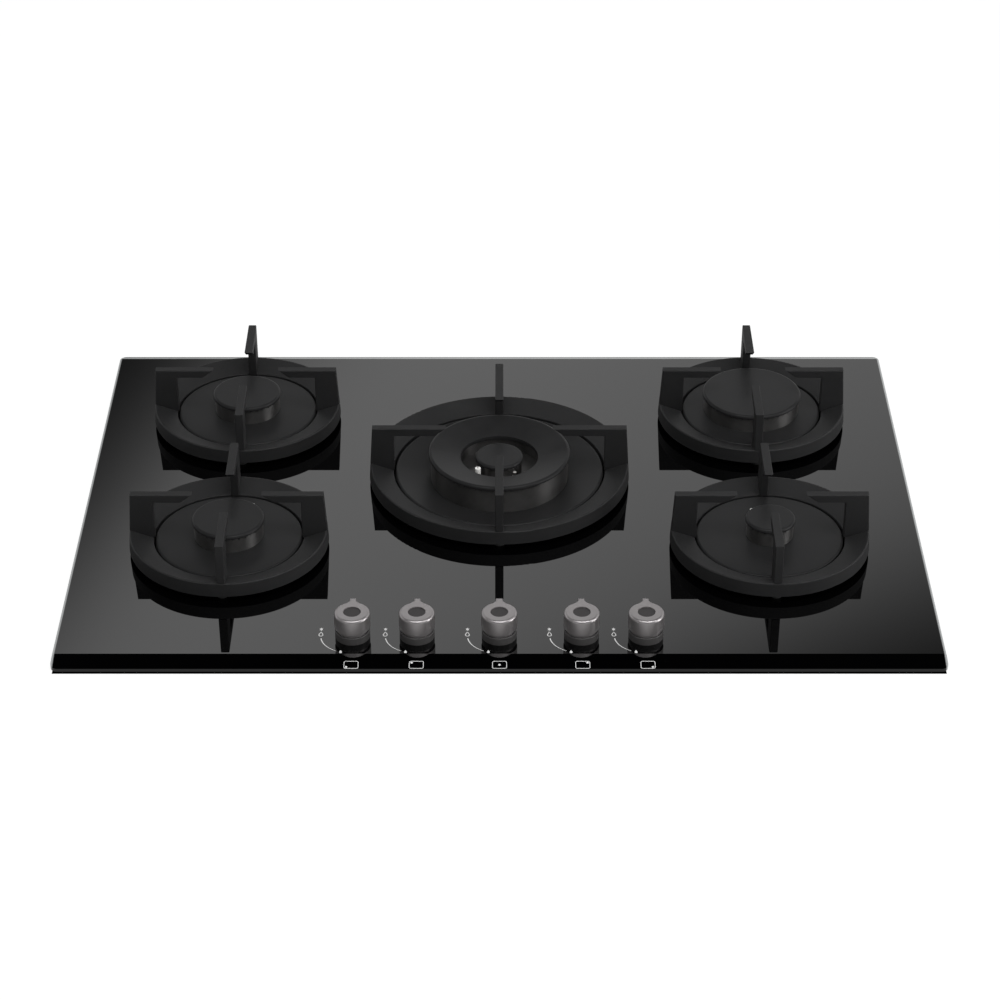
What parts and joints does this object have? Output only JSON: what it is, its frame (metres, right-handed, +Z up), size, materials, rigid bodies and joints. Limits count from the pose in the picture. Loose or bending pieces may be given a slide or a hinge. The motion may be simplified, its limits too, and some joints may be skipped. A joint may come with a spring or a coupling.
{
  "type": "gas cooktop",
  "caption": "Built-in gas hob with a black glass top, round burners with cast pan supports, a central double-ring burner and a row of push-and-turn knobs at the front.",
  "frame": {"origin": "centre of the case's underside, which is also the hob's centre seen from above", "axes": "+X to the right, +Y to the rear, +Z up; the knobs are at the front, on the -Y side"},
  "size_m": [0.75, 0.52, 0.1083],
  "materials": {
    "black_glass": "gloss, printed black underneath",
    "seal_foam": "matt",
    "case_steel": "galvanised",
    "bracket_steel": "zinc plated",
    "screw_steel": "zinc plated",
    "cast_iron": "matt black enamel",
    "support_rubber": "matt",
    "plate_enamel": "satin black enamel",
    "cap_enamel": "satin black enamel",
    "crown_alloy": "dark satin",
    "cup_alloy": "cast",
    "brass": "machined",
    "tap_alloy": "cast",
    "pipe_alloy": "drawn",
    "rail_steel": "zinc plated",
    "knob_metal": "warm satin",
    "bezel_plastic": "satin",
    "spindle_steel": "turned",
    "plug_ceramic": "glazed, with a steel electrode",
    "sensor_metal": "heat tinted",
    "module_plastic": "moulded",
    "lead_sleeve": "silicone",
    "switch_plastic": "moulded",
    "inlet_plastic": "moulded"
  },
  "bodies": {
    "hob": {"glass_panel": "black_glass", "glass_seal": "seal_foam", "bottom_case": "case_steel", "worktop_clamps": "bracket_steel", "clamp_screws": "screw_steel", "plate_screws": "screw_steel", "burner_cups": "cup_alloy", "injectors": "brass", "tap_bodies": "tap_alloy", "gas_rail": "rail_steel", "gas_inlet": "brass", "gas_pipes": "pipe_alloy", "ignition_module": "module_plastic", "ignition_leads": "lead_sleeve", "ignition_switches": "switch_plastic", "mains_inlet": "inlet_plastic", "spark_plugs": "plug_ceramic", "thermocouples": "sensor_metal", "knob_bezels": "bezel_plastic", "burner_plate_rear_left": "plate_enamel", "burner_crown_rear_left": "crown_alloy", "burner_plate_front_left": "plate_enamel", "burner_crown_front_left": "crown_alloy", "burner_plate_rear_right": "plate_enamel", "burner_crown_rear_right": "crown_alloy", "burner_plate_front_right": "plate_enamel", "burner_crown_front_right": "crown_alloy", "burner_plate_wok": "plate_enamel", "burner_crown_wok": "crown_alloy"},
    "tap_1": {"tap_plug_1": "brass"},
    "knob_1": {"knob_1": "knob_metal", "tap_spindle_1": "spindle_steel"},
    "tap_2": {"tap_plug_2": "brass"},
    "knob_2": {"knob_2": "knob_metal", "tap_spindle_2": "spindle_steel"},
    "tap_3": {"tap_plug_3": "brass"},
    "knob_3": {"knob_3": "knob_metal", "tap_spindle_3": "spindle_steel"},
    "tap_4": {"tap_plug_4": "brass"},
    "knob_4": {"knob_4": "knob_metal", "tap_spindle_4": "spindle_steel"},
    "tap_5": {"tap_plug_5": "brass"},
    "knob_5": {"knob_5": "knob_metal", "tap_spindle_5": "spindle_steel"},
    "support_rear_left": {"pan_support_rear_left": "cast_iron", "support_feet_rear_left": "support_rubber"},
    "support_front_left": {"pan_support_front_left": "cast_iron", "support_feet_front_left": "support_rubber"},
    "support_rear_right": {"pan_support_rear_right": "cast_iron", "support_feet_rear_right": "support_rubber"},
    "support_front_right": {"pan_support_front_right": "cast_iron", "support_feet_front_right": "support_rubber"},
    "support_wok": {"pan_support_wok": "cast_iron", "support_feet_wok": "support_rubber"},
    "cap_rear_left": {"burner_cap_rear_left": "cap_enamel"},
    "cap_front_left": {"burner_cap_front_left": "cap_enamel"},
    "cap_rear_right": {"burner_cap_rear_right": "cap_enamel"},
    "cap_front_right": {"burner_cap_front_right": "cap_enamel"},
    "cap_wok_ring": {"burner_cap_wok_ring": "cap_enamel"},
    "cap_wok_centre": {"burner_cap_wok_centre": "cap_enamel"}
  },
  "joints": [
    {"name": "knob_1_turn", "type": "hinge", "parent": "hob", "child": "tap_1", "pos_m": [-0.124, -0.2163, 0.053], "axis": [0, 0, 1], "range_deg": [0, 160]},
    {"name": "knob_1_push", "type": "slide", "parent": "tap_1", "child": "knob_1", "axis": [0, 0, -1], "range_m": [0, 0.003], "stiffness_N_per_m": 1500, "springref_m": -0.005},
    {"name": "knob_2_turn", "type": "hinge", "parent": "hob", "child": "tap_2", "pos_m": [-0.0695, -0.2163, 0.053], "axis": [0, 0, 1], "range_deg": [0, 160]},
    {"name": "knob_2_push", "type": "slide", "parent": "tap_2", "child": "knob_2", "axis": [0, 0, -1], "range_m": [0, 0.003], "stiffness_N_per_m": 1500, "springref_m": -0.005},
    {"name": "knob_3_turn", "type": "hinge", "parent": "hob", "child": "tap_3", "pos_m": [0, -0.2163, 0.053], "axis": [0, 0, 1], "range_deg": [0, 160]},
    {"name": "knob_3_push", "type": "slide", "parent": "tap_3", "child": "knob_3", "axis": [0, 0, -1], "range_m": [0, 0.003], "stiffness_N_per_m": 1500, "springref_m": -0.005},
    {"name": "knob_4_turn", "type": "hinge", "parent": "hob", "child": "tap_4", "pos_m": [0.0695, -0.2163, 0.053], "axis": [0, 0, 1], "range_deg": [0, 160]},
    {"name": "knob_4_push", "type": "slide", "parent": "tap_4", "child": "knob_4", "axis": [0, 0, -1], "range_m": [0, 0.003], "stiffness_N_per_m": 1500, "springref_m": -0.005},
    {"name": "knob_5_turn", "type": "hinge", "parent": "hob", "child": "tap_5", "pos_m": [0.124, -0.2163, 0.053], "axis": [0, 0, 1], "range_deg": [0, 160]},
    {"name": "knob_5_push", "type": "slide", "parent": "tap_5", "child": "knob_5", "axis": [0, 0, -1], "range_m": [0, 0.003], "stiffness_N_per_m": 1500, "springref_m": -0.005},
    {"name": "support_rear_left_lift", "type": "slide", "parent": "hob", "child": "support_rear_left", "axis": [0, 0, 1], "range_m": [0, 0.08]},
    {"name": "support_front_left_lift", "type": "slide", "parent": "hob", "child": "support_front_left", "axis": [0, 0, 1], "range_m": [0, 0.08]},
    {"name": "support_rear_right_lift", "type": "slide", "parent": "hob", "child": "support_rear_right", "axis": [0, 0, 1], "range_m": [0, 0.08]},
    {"name": "support_front_right_lift", "type": "slide", "parent": "hob", "child": "support_front_right", "axis": [0, 0, 1], "range_m": [0, 0.08]},
    {"name": "support_wok_lift", "type": "slide", "parent": "hob", "child": "support_wok", "axis": [0, 0, 1], "range_m": [0, 0.08]},
    {"name": "cap_rear_left_lift", "type": "slide", "parent": "hob", "child": "cap_rear_left", "axis": [0, 0, 1], "range_m": [0, 0.012]},
    {"name": "cap_front_left_lift", "type": "slide", "parent": "hob", "child": "cap_front_left", "axis": [0, 0, 1], "range_m": [0, 0.012]},
    {"name": "cap_rear_right_lift", "type": "slide", "parent": "hob", "child": "cap_rear_right", "axis": [0, 0, 1], "range_m": [0, 0.012]},
    {"name": "cap_front_right_lift", "type": "slide", "parent": "hob", "child": "cap_front_right", "axis": [0, 0, 1], "range_m": [0, 0.06]},
    {"name": "cap_wok_ring_lift", "type": "slide", "parent": "hob", "child": "cap_wok_ring", "axis": [0, 0, 1], "range_m": [0, 0.012]},
    {"name": "cap_wok_centre_lift", "type": "slide", "parent": "hob", "child": "cap_wok_centre", "axis": [0, 0, 1], "range_m": [0, 0.06]}
  ]
}
